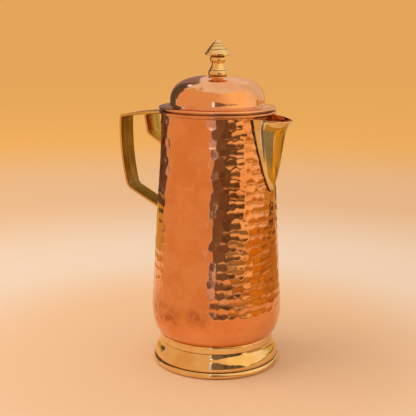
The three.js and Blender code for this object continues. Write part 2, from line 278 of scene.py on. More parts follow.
def swept(name, rings, sharp=40):
    """A closed piece through equal rings of points, with flat ends."""
    rings = np.array(rings)
    count, size = rings.shape[:2]
    ends = [list(range(size)), list(range((count - 1) * size, count * size))]
    faces = grid_faces(count, size, wrap=True).tolist() + ends
    return add_mesh(name, rings.reshape(-1, 3), faces, sharp)


# ---- Body -------------------------------------------------

BODY_LINE = np.vstack([
    arc((BOTTOM_RADIUS, BELLY_HEIGHT), (BELLY - BOTTOM_RADIUS, BELLY_HEIGHT - BODY_LOW), -90, 0, 40),
    smooth_curve([
        (BELLY, BELLY_HEIGHT),
        (BELLY - 2.1, 88),
        (BELLY - 4.7, 136),
        (MOUTH + 1.4, 175),
        (MOUTH + 0.2, 200),
        (MOUTH, BODY_TOP),
    ], 24)[1:],
])
BODY_LENGTH = np.concatenate([[0], np.cumsum(np.linalg.norm(np.diff(BODY_LINE, axis=0), axis=1))])


def wall_radius(z):
    """Outer radius of the body at a height."""
    return np.interp(z, BODY_LINE[:, 1], BODY_LINE[:, 0])


BODY_COLUMNS = 400  # points round the hammered wall
BODY_ROWS = 212  # rings of points up its outside
COURSE = 8.4  # height from one ring of hammer marks to the next
PITCH = 7.8  # distance between marks round the body
CUP_ROUND = 0.0145  # how sharply each mark is hollowed round the body
CUP_UP = 0.0155  # and up the body
RIDGE = 0.42  # deepest a mark goes below the crests around it
SOFTNESS = 30  # lower numbers round the crests more
MARKS_TOP = BODY_TOP - 7
MARKS_LOW = 50
MARKS_FADE = 12


def hammer_depth(angle, z):
    """Depth of the hammering at each point, 0 on the crests and deepest in each mark."""
    random = np.random.default_rng(11)
    radius = wall_radius(z)
    courses = int((MARKS_TOP - MARKS_LOW + MARKS_FADE) / COURSE) + 2
    total = np.zeros_like(z)
    for course in range(-1, courses):
        level = MARKS_TOP - course * COURSE
        count = int(round(2 * math.pi * wall_radius(level) / PITCH))
        step = 2 * math.pi / count
        phase = random.uniform(0, step)
        turn = random.normal(0, 0.13, count) * step
        rise = random.normal(0, 0.6, count) + 0.9 * np.sin(np.arange(count) * step * 2 + course)
        steep = random.uniform(0.75, 1.3, count)
        lift = random.uniform(-0.02, 0.02, count)
        lean = random.normal(0, 0.02, (2, count))
        near = np.abs(z - level) < 1.9 * COURSE
        a, h, r = angle[near], z[near], radius[near]
        nearest = np.round((a - phase) / step).astype(int)
        for offset in (-1, 0, 1):
            mark = (nearest + offset) % count
            across = (a - phase - (nearest + offset) * step - turn[mark]) * r
            along = h - level - rise[mark]
            cup = steep[mark] * (CUP_ROUND * across**2 + CUP_UP * along**2) + lift[mark]
            cup += lean[0, mark] * across + lean[1, mark] * along
            total[near] += np.exp(-SOFTNESS * cup)
    hollow = -np.log(np.maximum(total, 1e-30)) / SOFTNESS
    depth = np.clip(RIDGE - hollow, 0, RIDGE + 0.03)
    low = np.clip((z - MARKS_LOW + MARKS_FADE) / MARKS_FADE, 0, 1)
    high = np.clip((BODY_TOP - 1.5 - z) / 3, 0, 1)
    return depth * low**2 * (3 - 2 * low) * high


def along_body(count):
    """Evenly spaced radii and heights up the body's outline."""
    length = np.linspace(0, BODY_LENGTH[-1], count)
    return (np.interp(length, BODY_LENGTH, side) for side in BODY_LINE.T)


def body_mesh():
    """The hammered wall: outside, rounded mouth edge, inside with fainter marks, bottom lip."""
    angle = np.linspace(0, 2 * math.pi, BODY_COLUMNS, endpoint=False)
    rows, dents = [], []

    def add_rows(r, z, strength):
        a = np.tile(angle, len(r))
        radius = np.repeat(r, BODY_COLUMNS)
        height = np.repeat(z, BODY_COLUMNS)
        depth = hammer_depth(a, height) if strength else np.zeros_like(height)
        radius = radius - strength * depth
        rows.append(np.column_stack([radius * np.cos(a), radius * np.sin(a), height]))
        dents.append(depth / RIDGE * min(1, strength * 2))

    r, z = along_body(BODY_ROWS)
    z = np.minimum(z, BODY_TOP - 0.5)
    add_rows(r, z, 1)
    add_rows(np.array([MOUTH - 0.25, MOUTH - WALL + 0.25]), np.array([BODY_TOP, BODY_TOP]), 0)
    bottom = BODY_LOW + WALL
    levels = np.linspace(BODY_TOP - 0.5, bottom + 3, 28)
    inner_radius = np.interp(levels, np.maximum(BODY_LINE[:, 1], bottom), BODY_LINE[:, 0] - WALL)
    add_rows(inner_radius, levels, 0.5)
    lip = np.array([(BOTTOM_RADIUS - 0.5, bottom), (BODY_LIP, bottom), (BODY_LIP, BODY_LOW)])
    add_rows(lip[:, 0], lip[:, 1], 0)
    points = np.vstack(rows)
    size = (len(points) // BODY_COLUMNS, BODY_COLUMNS)
    faces = np.vstack([grid_faces(*size, wrap=True), closing_faces(*size, wrap=True)])
    return points, faces, np.concatenate(dents)


def make_body():
    """The hammered wall, with the window cut through it behind the spout."""
    points, faces, dents = body_mesh()
    body = add_mesh("hammered_body", points, faces, 50)
    give_points(body, "dent", dents)
    cut(body, spout_window())
    return body


def spout_window():
    """A V-shaped wedge through the wall behind the spout."""
    z = np.linspace(SPOUT_LOW + WINDOW_RISE, SPOUT_TOP - SPOUT_DIP, 14)
    half = spout_half(z) - WINDOW_MARGIN
    side = np.column_stack([half, z])
    outline = np.vstack([side, (side * [-1, 1])[::-1]])
    count = len(outline)
    points = [(x, y, z) for x in WINDOW_REACH for y, z in outline]
    faces = [list(range(count)), list(range(count, 2 * count))]
    faces += [[i, (i + 1) % count, count + (i + 1) % count, count + i] for i in range(count)]
    return add_mesh("window_cutter", points, faces)


def cut(obj, cutter):
    """Cuts one mesh by another for good, and removes the cutter."""
    boolean = obj.modifiers.new("cut", "BOOLEAN")
    boolean.object = cutter
    boolean.operation = "DIFFERENCE"
    boolean.solver = "EXACT"
    bpy.context.view_layer.update()
    graph = bpy.context.evaluated_depsgraph_get()
    finished = bpy.data.meshes.new_from_object(
        obj.evaluated_get(graph), preserve_all_data_layers=True, depsgraph=graph,
    )
    obj.modifiers.clear()
    obj.data = finished
    finished.shade_smooth()
    finished.set_sharp_from_angle(angle=math.radians(50))
    bpy.data.objects.remove(cutter)


def make_base():
    """Dished disc inside the bottom."""
    low = BODY_LOW + WALL + 0.3
    return turned("base_disc", rounded([
        (0, low + 1.6, 0), (36, low + 1.6, 3), (42, low, 3), (50, low, 0.3),
        (50, low + 1.2, 0.3), (42, low + 1.2, 3), (36, low + 2.8, 3), (0, low + 2.8, 0),
    ]))


def make_rim():
    """Half-round bead outside the mouth."""
    inner = MOUTH - 0.1
    middle = (RIM_LOW + RIM_HIGH) / 2
    return turned("mouth_bead", np.vstack([
        [(inner, RIM_LOW)],
        arc((inner + 0.5, middle), (RIM_RADIUS - inner - 0.5, middle - RIM_LOW), -90, 90, 14),
        [(inner, RIM_HIGH)],
    ]), 200)


# ---- Foot -------------------------------------------------


def make_foot():
    """Spun foot: rolled flange, crease, flared ogee, crease and upper band; hollow below."""
    middle = FOOT_BASE / 2
    flange = arc((FOOT_RADIUS - 2.6, middle), (2.6, middle), -75, 84, 16)
    crease = [(FOOT_BEAD, FOOT_BASE - 0.15), (FOOT_BEAD - 0.6, FOOT_BASE - 0.3)]
    ogee = smooth_curve([
        (FOOT_BEAD - 0.55, FOOT_BASE + 0.3),
        (FOOT_BEAD - 0.1, FOOT_BASE + 1.2),
        (FOOT_BEAD, FOOT_BASE + 3.2),
        (FOOT_BEAD - 1.4, FOOT_BASE + 7.8),
        (FOOT_NECK + 1, FOOT_WAIST - 3.4),
        (FOOT_NECK + 0.05, FOOT_WAIST - 0.3),
    ], 8)
    waist = [(FOOT_NECK - 0.5, FOOT_WAIST - 0.1)]
    band = smooth_curve([
        (FOOT_NECK + 0.3, FOOT_WAIST + 0.1),
        (FOOT_NECK + 0.5, FOOT_WAIST + 1),
        (FOOT_NECK + 0.45, FOOT_WAIST + 3.4),
        (FOOT_NECK + 0.2, FOOT_TOP - 1.1),
        (FOOT_NECK - 0.5, FOOT_TOP - 0.25),
        (FOOT_NECK - 1.2, FOOT_TOP - 0.05),
    ], 5)
    wall = FOOT_WALL
    inside = [
        (FOOT_NECK - wall, FOOT_TOP), (43.4, FOOT_TOP), (43, FOOT_TOP - 0.4), (43, FOOT_TOP - wall),
        (FOOT_NECK - 0.8 - wall, FOOT_TOP - wall), (FOOT_NECK - wall, FOOT_WAIST),
        (FOOT_BEAD - 1.4 - wall, FOOT_BASE + 7), (FOOT_BEAD - wall, wall), (FOOT_TREAD + 0.3, wall),
        (FOOT_TREAD, wall - 0.3), (FOOT_TREAD, 0.3), (FOOT_TREAD + 0.3, 0), (FOOT_RADIUS - 2.6, 0),
    ]
    return turned("foot", np.vstack([flange, crease, ogee, waist, band, inside]), 240, 24)


# ---- Spout ------------------------------------------------

SPOUT_RISE = SPOUT_TIP - MOUTH - SPOUT_FLARE


def up_the_v(z):
    """Height up the spout, 0 at the point of its V and 1 at its lip."""
    return np.clip((z - SPOUT_LOW) / (SPOUT_TOP - SPOUT_LOW), 0, 1)


def spout_half(z):
    """Half the spout's width at a height."""
    return SPOUT_HALF * up_the_v(z) ** 0.58


def spout_reach(z):
    """How far the spout stands out from the wall at a height."""
    flare = np.clip(1 - (SPOUT_TOP - z) / SPOUT_FLARE_HEIGHT, 0, 1)
    return SPOUT_RISE * up_the_v(z) ** 0.55 + SPOUT_FLARE * flare**2.5


def beak(inset, levels, across):
    """Rows of points over the spout's surface, one row a level, moved inwards by an inset."""
    rows = []
    for level in levels:
        z = SPOUT_LOW + (SPOUT_TOP - SPOUT_LOW) * level
        wall = wall_radius(z) - 0.1
        inner_z = max(SPOUT_LOW, z - 1.2 * inset * (1 - level))
        half = max(0.15, float(spout_half(inner_z)) - inset)
        chord = math.sqrt(wall**2 - half**2)
        nose = wall + max(0.1, float(spout_reach(inner_z)) - inset)
        front = 1 - SPOUT_CROWN * across**2
        side = SPOUT_SIDE * (1 - np.abs(across))
        bow = (front + side - np.sqrt((front - side) ** 2 + 0.004)) / 2
        x = chord + (nose - chord) * (bow - bow[0]) / (bow.max() - bow[0])
        dip = SPOUT_DIP * (1 - across**4) * level**6
        rows.append(np.column_stack([x, half * across, z - dip]))
    return rows


def make_spout():
    """A thin sheet beak, open at the top and along the wall, with a rounded lip."""
    across = np.sin(np.linspace(-math.pi / 2, math.pi / 2, 49))
    levels = np.linspace(0, 1, 61) ** 1.5
    outside = beak(0, levels, across)
    inside = beak(SPOUT_WALL, levels, across)[::-1]
    crest = (outside[-1] + inside[0]) / 2 + [0, 0, 0.35]
    shoulder_out = outside[-1] * 0.93 + inside[0] * 0.07 + [0, 0, 0.22]
    shoulder_in = outside[-1] * 0.07 + inside[0] * 0.93 + [0, 0, 0.22]
    outside[-1] = outside[-1] - [0, 0, 0.15]
    inside[0] = inside[0] - [0, 0, 0.15]
    rows = [*outside, shoulder_out, crest, shoulder_in, *inside]
    rows = [np.minimum(row, [np.inf, np.inf, SPOUT_TOP]) for row in rows]
    columns = len(across)
    count = len(rows)
    faces = grid_faces(count, columns).tolist() + closing_faces(count, columns).tolist()
    for column in (0, columns - 1):
        side = [row * columns + column for row in range(count)]
        for a in range(count // 2):
            b = count - 1 - a
            quad = list(dict.fromkeys((side[a], side[a + 1], side[b - 1], side[b])))
            if len(quad) > 2:
                faces.append(quad)
    spout = add_mesh("beak_spout", np.vstack(rows), faces, 45)
    give_points(spout, "inner", np.repeat(np.arange(count) > len(outside) + 2, columns))
    return spout


def tube(name, path, radii):
    """A closed round bead along a path, with its own radius at each point."""
    rings = []
    turn = np.linspace(0, 2 * math.pi, 10, endpoint=False)
    for i, at in enumerate(path):
        along = direction(path, i)
        side = unit(np.cross(along, unit(at * [1, 1, 0])))
        up = np.cross(side, along)
        rings.append(at + radii[i] * (np.outer(np.cos(turn), side) + np.outer(np.sin(turn), up)))
    return swept(name, rings, 60)


def make_spout_solder():
    """The solder line along the V where the spout meets the wall."""
    count = 121
    level = np.linspace(-1, 1, count)
    z = SPOUT_LOW - 0.3 + (SPOUT_TOP - SPOUT_LOW) * np.abs(level) ** 1.4
    half = spout_half(z) + 0.35
    y = np.sign(level) * half
    wall = wall_radius(z) - 0.05
    x = np.sqrt(wall**2 - y**2)
    random = np.random.default_rng(5)
    wobble = np.interp(np.arange(count), np.arange(0, count, 5), random.uniform(0.85, 1.15, 25))
    swell = 0.72 + 0.35 * np.abs(level) ** 8
    return tube("spout_solder", np.column_stack([x, y, z]), swell * wobble)


# ---- Handle -----------------------------------------------


def strap_section(width, thickness):
    """Rounded rectangle of (across the strap, through its thickness) points."""
    half_w, half_t = width / 2 - STRAP_EDGE, thickness / 2 - STRAP_EDGE
    out = []
    for cx, cy, start in ((1, 1, 0), (-1, 1, 90), (-1, -1, 180), (1, -1, 270)):
        out.extend(arc((cx * half_w, cy * half_t), (STRAP_EDGE, STRAP_EDGE), start, start + 90, 3))
    return np.array(out)


def strap_piece(name, line, thickness, width_at, shape):
    """A flat strap along an (x, z) line in the jug's middle plane, fitted to the wall by a shape."""
    rings = []
    for i, at in enumerate(line):
        ahead_x, ahead_z = direction(line, i)
        across, through = strap_section(width_at(at[1]), thickness).T
        rings.append(np.column_stack([at[0] - ahead_z * through, across, at[1] + ahead_x * through]))
    strap = swept(name, shape(np.array(rings)))
    give_points(strap, "inner", np.tile(through > thickness * 0.3, len(rings)))
    return strap


def blend(a, b, share):
    """Smooth step from a to b as the share goes from 0 to 1."""
    share = np.clip(share, 0, 1)
    share = share * share * (3 - 2 * share)
    return a + (b - a) * share


def on_bow(z):
    """Point on the grip's centre line at a height."""
    centre = GRIP_BOW - GRIP_REACH
    return np.array([centre - math.sqrt((GRIP_BOW - STRAP / 2) ** 2 - (z - GRIP_UPRIGHT) ** 2), z])


def handle_line():
    """Centre line: out along the arm, round the corner, down the grip, back to the body."""
    half = STRAP / 2
    corner = on_bow(ARM_OUTER - half)
    bend = on_bow(GRIP_BEND)
    low_end = np.array([-(wall_radius(ARM_LOW_END) - 0.4), ARM_LOW_END - 0.2])
    corner_in = corner + [2.2, 0.25]
    corner_down = on_bow(corner[1] - 2.4)
    arm = bezier((-(MOUTH - 0.4), ARM_INNER - half), (-75, ARM_INNER - half - 1.5), corner_in, 22)
    top = bezier(corner_in, corner, corner_down, 10)
    grip = [on_bow(z) for z in np.linspace(corner_down[1], GRIP_BEND + 3.4, 46)]
    low_start = bend + unit(low_end - bend) * 4.4 + [0.4, -1.1]
    low = bezier(grip[-1], bend + [0.1, -1.3], low_start, 12)
    share = np.linspace(0, 1, 26)[1:, None]
    arm_low = low[-1] * (1 - share) + low_end * share
    return np.vstack([arm, top[1:], grip[1:], low[1:], arm_low])


def handle_width(z):
    return blend(GRIP_NARROW, GRIP_WIDE, (z - ARM_LOW_END) / (ARM_OUTER - ARM_LOW_END))


def meet_wall(rings):
    """Bends both ends of the handle to the round wall, just inside its surface."""
    for index in (0, 1, -2, -1):
        ring = rings[index]
        inside = wall_radius(ring[:, 2]) - 0.5
        fitted = -np.sqrt(inside**2 - ring[:, 1] ** 2)
        ring[:, 0] = fitted if index in (0, -1) else (ring[:, 0] + fitted) / 2
    return rings


def make_handle():
    return strap_piece("strap_handle", handle_line(), STRAP, handle_width, meet_wall)


def bracket_line():
    """Centre line: from under the arm, inwards and down to a pad on the wall."""
    off_wall = 0.2 + BRACKET / 2
    top, knee = np.array(BRACKET_TOP), np.array(BRACKET_KNEE)
    heel, toe = (np.array([-(wall_radius(z) + off_wall), z]) for z in (PAD_TOP, PAD_LOW))
    knee_bend, heel_bend = fillet(top, knee, heel, 2.6, 8), fillet(knee, heel, toe, 2.2, 8)

    def straight(a, b, steps):
        return a + np.linspace(0, 1, steps + 1)[1:-1, None] * (b - a)

    return np.vstack([
        top, straight(top, knee_bend[0], 10), knee_bend,
        straight(knee_bend[-1], heel_bend[0], 8), heel_bend,
        straight(heel_bend[-1], toe, 8), toe,
    ])


def bracket_width(z):
    return blend(PAD_WIDE, BRACKET_WIDE, (z - PAD_LOW - 4) / 9.5)


def hug_wall(rings):
    """Curves the bracket's pad round the wall, less and less towards the knee."""
    y, z = rings[..., 1], rings[..., 2]
    radius = wall_radius(z)
    sag = radius - np.sqrt(radius**2 - y**2)
    rings[..., 0] += sag * blend(1, 0, (z - PAD_TOP - 0.5) / 6)
    return rings


def make_bracket():
    return strap_piece("handle_brace", bracket_line(), BRACKET, bracket_width, hug_wall)


# ---- Lid --------------------------------------------------


def dome(inset, steps):
    """Dome outline from the centre hole down to its foot."""
    angle = np.linspace(0, math.pi / 2, steps + 1)
    power = 2 / DOME_SQUARENESS
    r = (DOME_RADIUS - inset) * np.sin(angle) ** power
    z = DOME_FOOT + (LID_TOP - DOME_FOOT - inset) * np.cos(angle) ** power
    keep = r > KNOB_HOLE
    return np.vstack([[(KNOB_HOLE, LID_TOP - inset)], np.column_stack([r, z])[keep]])


def make_lid():
    """Pressed lid in one sheet: dome, small step, sloping flange, turned-down rim."""
    inner = LID_RADIUS - LID_WALL
    under = [
        (DOME_RADIUS, LID_FLANGE), (inner, LID_FLANGE - LID_WALL - 0.2), (inner, LID_LIP + 0.3),
        (inner + 0.3, LID_LIP),
    ]
    edge = np.vstack([
        arc((LID_RADIUS - 0.45, LID_LIP + 0.45), (0.45, 0.45), -90, 0, 5),
        arc((LID_RADIUS - 1.15, LID_FLANGE - 1.15), (1.15, 1.15), 0, 78, 8),
    ])
    step = smooth_curve([
        (DOME_RADIUS + 2.6, DOME_FOOT - 0.95), (DOME_RADIUS + 1.4, DOME_FOOT - 0.6),
        (DOME_RADIUS + 0.35, DOME_FOOT + 0.2), (DOME_RADIUS, DOME_FOOT + 1.2),
    ], 5)
    outside = dome(0, 56)[::-1]
    outside = outside[outside[:, 1] > DOME_FOOT + 2]
    return turned("lid", np.vstack([dome(LID_WALL, 40), under, edge, step, outside]), 240, 40)


def make_collar():
    """Sleeve under the lid, chamfered where it enters the mouth."""
    low, high = extent("lid_collar", 2)
    outer = extent("lid_collar", 1)[1]
    return turned("lid_sleeve", rounded([
        (outer - 1, low, 0.35), (outer - 0.2, low, 0.35), (outer, low + 1.2, 0.5), (outer, high, 0),
        (outer - 1, high, 0),
    ]), 200)


def make_knob():
    """Turned finial: base drum, concave stem, bulb, and a grooved cone with a sharp brim."""
    low, brim = KNOB_LOW, KNOB_SKIRT
    drum = rounded([
        (0, low, 0), (8, low, 0.3), (8.25, low + 0.9, 0.3), (8.2, low + 3.6, 0.5), (7.4, low + 4.3, 0.2),
    ])[:-1]
    stem = smooth_curve([
        (7.4, low + 4.3), (6.1, low + 6.6), (5.2, low + 9.4), (5.5, low + 10.9), (6.6, low + 12.4),
        (6.8, low + 14.2), (6.2, low + 15.6), (5.6, low + 16.4),
    ], 6)
    skirt = rounded([
        (5.6, low + 16.4, 0), (KNOB_BRIM - 1.2, brim - 0.2, 0.4), (KNOB_BRIM, brim + 0.1, 0.3),
        (KNOB_BRIM, brim + 1.8, 0.4), (KNOB_BRIM - 0.8, brim + 2.2, 0),
    ])[1:]
    cone = []
    rings = [(KNOB_BRIM - 0.8, brim + 2.2), (8.2, brim + 5.3), (6.1, brim + 7.9), (4.5, brim + 10.1)]
    for (r, z), (next_r, next_z) in zip(rings, rings[1:] + [(3.1, KNOB_TOP - 0.9)]):
        cone.extend(bezier((r, z), (r * 0.45 + next_r * 0.55, z * 0.5 + next_z * 0.5 - 0.2),
                           (next_r + 0.5, next_z - 0.5), 5))
        cone.extend([(next_r - 0.1, next_z - 0.45), (next_r - 0.1, next_z - 0.05)])
    tip = arc((0, KNOB_TOP - 0.9), (2.9, 0.9), 0, 90, 7)
    return turned("knob", np.vstack([drum, stem, skirt, cone, tip]), 120, 30)


def make_screw():
    """Slotted round-head screw under the dome."""
    low, high = extent("knob_screw", 2)
    head = extent("knob_screw", 1)[1]
    seat = low + 2
    points = rounded([
        (0, low, 0), (head - 0.9, low + 0.1, 0.5), (head, seat - 0.7, 0.3), (head, seat, 0.1),
        (2, seat, 0), (2, high - 0.4, 0.2), (1.6, high, 0.1), (0, high, 0),
    ])
    screw = turned("lid_screw", points, 48)
    slot = turned("slot_cutter", [(0, low - 1), (1, low - 1), (1, low + 0.9), (0, low + 0.9)], 4)
    slot.data.transform(
        Matrix.Translation((AXIS_X, 0, 0)) @ Matrix.Diagonal((6, 0.6, 1, 1))
        @ Matrix.Rotation(math.radians(45), 4, "Z") @ Matrix.Translation((-AXIS_X, 0, 0))
    )
    cut(screw, slot)
    return screw


def make_washer():
    """Flat washer between the screw's head and the dome."""
    low, high = extent("knob_washer", 2)
    outer = extent("knob_washer", 1)[1]
    return turned("lid_washer", rounded([
        (KNOB_HOLE, low, 0.1), (outer, low, 0.25), (outer, high, 0.25), (KNOB_HOLE, high, 0.1),
    ]), 64)


# ---- Finishes ---------------------------------------------

COPPER = (0.86, 0.385, 0.165)
COPPER_WARM = (0.80, 0.31, 0.11)
COPPER_PALE = (0.90, 0.46, 0.23)
COPPER_RUBBED = (0.95, 0.55, 0.30)
COPPER_STAIN = (0.52, 0.16, 0.06)
# Painted shade for the dark lines in copper creases and gaps.
COPPER_CREASE_SHADE = (0.16, 0.05, 0.02)
# Bead tones, darker than the body's copper: painted shade from the lid's rim above the bead.
BEAD_SHADED = (0.82, 0.37, 0.16)
BEAD_DEEP_SHADED = (0.68, 0.27, 0.10)
INNER = (0.72, 0.33, 0.15)
WATER_MARK = (0.50, 0.20, 0.09)
BRASS = (0.90, 0.645, 0.31)
BRASS_DEEP = (0.82, 0.53, 0.20)
BRASS_STAIN = (0.42, 0.26, 0.10)
# Painted shade for the dark lines in brass creases.
BRASS_CREASE_SHADE = (0.10, 0.055, 0.02)
SPOUT_TARNISH = (0.34, 0.15, 0.05)
STRAP_BRASS = (0.80, 0.50, 0.17)
STRAP_DEEP = (0.66, 0.38, 0.10)
STRAP_GLARE = (0.9, 0.72, 0.5)
# Painted shade for the strap's inner face near its lower end.
STRAP_LOW_SHADE = (0.075, 0.032, 0.003)
STREAK = (0.12, 0.055, 0.012)
SOLDER = (0.05, 0.03, 0.02)
SOLDER_WORN = (0.22, 0.13, 0.07)

# Tarnish and painted shade on the inner faces, on the -Y side and on the +Y side; the -Y tones are
# darker.
HANDLE_TARNISH_AND_SHADE = (0.20, 0.08, 0.012), (0.24, 0.14, 0.04)
BRACKET_TARNISH_AND_SHADE = (0.42, 0.18, 0.01), (0.52, 0.33, 0.05)

# Stretch of the fine lines that turning leaves round the axis.
COPPER_TURNING = (0.3, 0.3, 14)
BRASS_TURNING = (0.2, 0.2, 16)

# Stains low on the body and a smudge on the dome: a middle from the jug's axis, and a reach.
BODY_STAINS = (((-33, -46, 55), 20), ((-16, -54, 52), 16), ((10, -55, 56), 14))
DOME_SMUDGE = (3.7, -36.2, 246.5), 3.2


class Nodes:
    """A node tree built step by step; an input takes a value, a colour or another node's output."""

    def __init__(self, owner):
        owner.use_nodes = True
        self.tree = owner.node_tree

    def feed(self, node, inputs):
        for key, value in inputs.items():
            socket = node.inputs[key]
            if isinstance(value, bpy.types.NodeSocket):
                self.tree.links.new(value, socket)
            else:
                socket.default_value = (*value, 1) if socket.type == "RGBA" else value

    def node(self, kind, inputs=None, **settings):
        made = self.tree.nodes.new(kind)
        for key, value in settings.items():
            setattr(made, key, value)
        self.feed(made, inputs or {})
        return made


class Finish(Nodes):
    """A material built round one shader, a metal unless told otherwise."""

    def __init__(self, name, metallic=1):
        self.material = bpy.data.materials.new(name)
        super().__init__(self.material)
        self.shader = self.tree.nodes["Principled BSDF"]
        self.feed(self.shader, {"Metallic": metallic})
        self.place = self.node("ShaderNodeTexCoord").outputs["Object"]

    def noise(self, scale, detail=3, stretch=None, roughness=0.55):
        """Noise over the surface; scale is in marks a metre, stretch multiplies it along each axis."""
        place = self.place
        if stretch:
            place = self.node("ShaderNodeMapping", {"Vector": place, "Scale": stretch}).outputs["Vector"]
        settings = {"Vector": place, "Scale": scale, "Detail": detail, "Roughness": roughness}
        return self.node("ShaderNodeTexNoise", settings).outputs["Fac"]

    def attribute(self, name):
        return self.node("ShaderNodeAttribute", attribute_name=name).outputs["Fac"]

    def along(self, axis):
        """The X, Y or Z coordinate, in metres."""
        return self.node("ShaderNodeSeparateXYZ", {"Vector": self.place}).outputs[axis]

    def distance(self, point=(0, 0, 0)):
        """Distance from a point in the row frame, in metres."""
        inputs = {0: self.place, 1: point}
        return self.node("ShaderNodeVectorMath", inputs, operation="DISTANCE").outputs["Value"]

    def ramp(self, source, low, high, out_low=0.0, out_high=1.0):
        """Maps a value smoothly from one range to another."""
        limits = {"From Min": low, "From Max": high, "To Min": out_low, "To Max": out_high}
        inputs = {"Value": source, **limits}
        return self.node("ShaderNodeMapRange", inputs, interpolation_type="SMOOTHSTEP").outputs["Result"]

    def patches(self, scale, detail, low, high, out_low=0.0, out_high=1.0, **settings):
        """Soft patches of noise, mapped from one range to another."""
        return self.ramp(self.noise(scale, detail, **settings), low, high, out_low, out_high)

    def math(self, operation, a, b=0):
        return self.node("ShaderNodeMath", {0: a, 1: b}, operation=operation).outputs[0]

    def times(self, a, b):
        return self.math("MULTIPLY", a, b)

    def mix(self, share, a, b):
        """Colour between a and b; each is a colour or another node's output."""
        return self.node("ShaderNodeMix", {"Factor": share, 6: a, 7: b}, data_type="RGBA").outputs[2]

    def lines(self, colour, levels, half, crease_shade, share=0.85):
        """Painted shade in lines round the piece at some heights, each fading out over a half width."""
        for level in levels:
            away = self.math("ABSOLUTE", self.math("SUBTRACT", self.along("Z"), level * MM))
            near = self.ramp(away, half * MM * 0.25, half * MM, share, 0)
            colour = self.mix(near, colour, crease_shade)
        return colour

    def near(self, centre, reach):
        """1 at a point given from the jug's axis in millimetres, falling to 0 at a reach."""
        return self.ramp(self.distance(to_row(centre)), 0, reach * MM, 1, 0)

    def finished(self, colour, roughness, relief, depth, strength=0.5):
        """The material, given its colour, its roughness and a fine relief of a depth in metres."""
        bump = self.node("ShaderNodeBump", {"Height": relief, "Distance": depth, "Strength": strength})
        outputs = {"Base Color": colour, "Roughness": roughness, "Normal": bump.outputs["Normal"]}
        self.feed(self.shader, outputs)
        return self.material


def hammered_copper():
    """Bright copper, a little redder in patches, with stains where the marks end near the base."""
    look = Finish("hammered_copper")
    colour = look.mix(look.patches(38, 4, 0.38, 0.68), COPPER, COPPER_WARM)
    rubbed = look.ramp(look.attribute("dent"), 0, 0.25, 1, 0)
    colour = look.mix(look.times(rubbed, 0.15), colour, COPPER_RUBBED)
    stain = look.patches(95, 5, 0.56, 0.74, roughness=0.7)
    height = look.along("Z")
    low_band = look.times(look.ramp(height, 0.04, 0.052), look.ramp(height, 0.056, 0.078, 1, 0))
    share = look.math("ADD", look.times(low_band, 0.75), 0.14)
    colour = look.mix(look.times(stain, share), colour, COPPER_STAIN)
    for centre, reach in BODY_STAINS:
        cloudy = look.patches(150, 5, 0.42, 0.62, 0.15, 1, roughness=0.7)
        colour = look.mix(look.times(look.near(centre, reach), cloudy), colour, COPPER_STAIN)
    return look.finished(colour, look.patches(120, 4, 0.3, 0.75, 0.09, 0.17), look.noise(420), 0.00012)


def polished_copper():
    """Smooth polished copper with soft patches and faint polishing lines round the axis."""
    look = Finish("polished_copper")
    colour = look.mix(look.patches(45, 4, 0.4, 0.7), COPPER_PALE, COPPER)
    colour = look.mix(look.times(look.patches(140, 5, 0.62, 0.78), 0.25), colour, COPPER_STAIN)
    colour = look.mix(look.times(look.near(*DOME_SMUDGE), 0.7), colour, COPPER_STAIN)
    # Painted shade: dark lines round the lid at its flange and at the dome's foot.
    colour = look.lines(colour, (LID_FLANGE + 0.2, DOME_FOOT + 0.1), 0.35, COPPER_CREASE_SHADE, 0.5)
    turning = look.noise(90, stretch=COPPER_TURNING)
    return look.finished(colour, look.patches(180, 4, 0.3, 0.75, 0.08, 0.15), turning, 0.00006)


def bead_copper():
    """Polished copper bead, toned darker as painted shade, with painted shade lines along both its
    edges: the gap under the lid and the shadow under the bead.
    """
    look = Finish("bead_copper")
    colour = look.mix(look.patches(60, 4, 0.4, 0.7), BEAD_SHADED, BEAD_DEEP_SHADED)
    # Painted shade: a dark line in the gap under the lid's rim and one under the bead.
    colour = look.lines(colour, (RIM_LOW, RIM_HIGH), 0.75, COPPER_CREASE_SHADE)
    turning = look.noise(90, stretch=COPPER_TURNING)
    return look.finished(colour, look.patches(180, 4, 0.3, 0.75, 0.14, 0.24), turning, 0.00006)


def inner_copper():
    """Duller copper inside, with cloudy water marks."""
    look = Finish("inner_copper")
    colour = look.mix(look.patches(60, 6, 0.35, 0.7, roughness=0.65), INNER, WATER_MARK)
    return look.finished(colour, look.patches(90, 4, 0.3, 0.7, 0.24, 0.38), look.noise(700), 0.00008)


def polished_brass(name, creases=(), half=0.4, tarnished=False):
    """Turned and polished brass: fine turning lines, deeper patches, painted shade in its creases.

    A tarnished piece is brown on its inner side.
    """
    look = Finish(name)
    colour = look.mix(look.patches(55, 4, 0.4, 0.7), BRASS, BRASS_DEEP)
    colour = look.mix(look.times(look.patches(160, 5, 0.62, 0.8), 0.3), colour, BRASS_STAIN)
    # Painted shade: dark lines along the creases, such as the foot's top under the body, its waist and
    # above its flange, and the knob's grooves.
    colour = look.lines(colour, creases, half, BRASS_CREASE_SHADE)
    if tarnished:
        colour = look.mix(look.times(look.attribute("inner"), 0.85), colour, SPOUT_TARNISH)
    turning = look.noise(110, stretch=BRASS_TURNING)
    return look.finished(colour, look.patches(200, 4, 0.3, 0.75, 0.06, 0.12), turning, 0.00005)


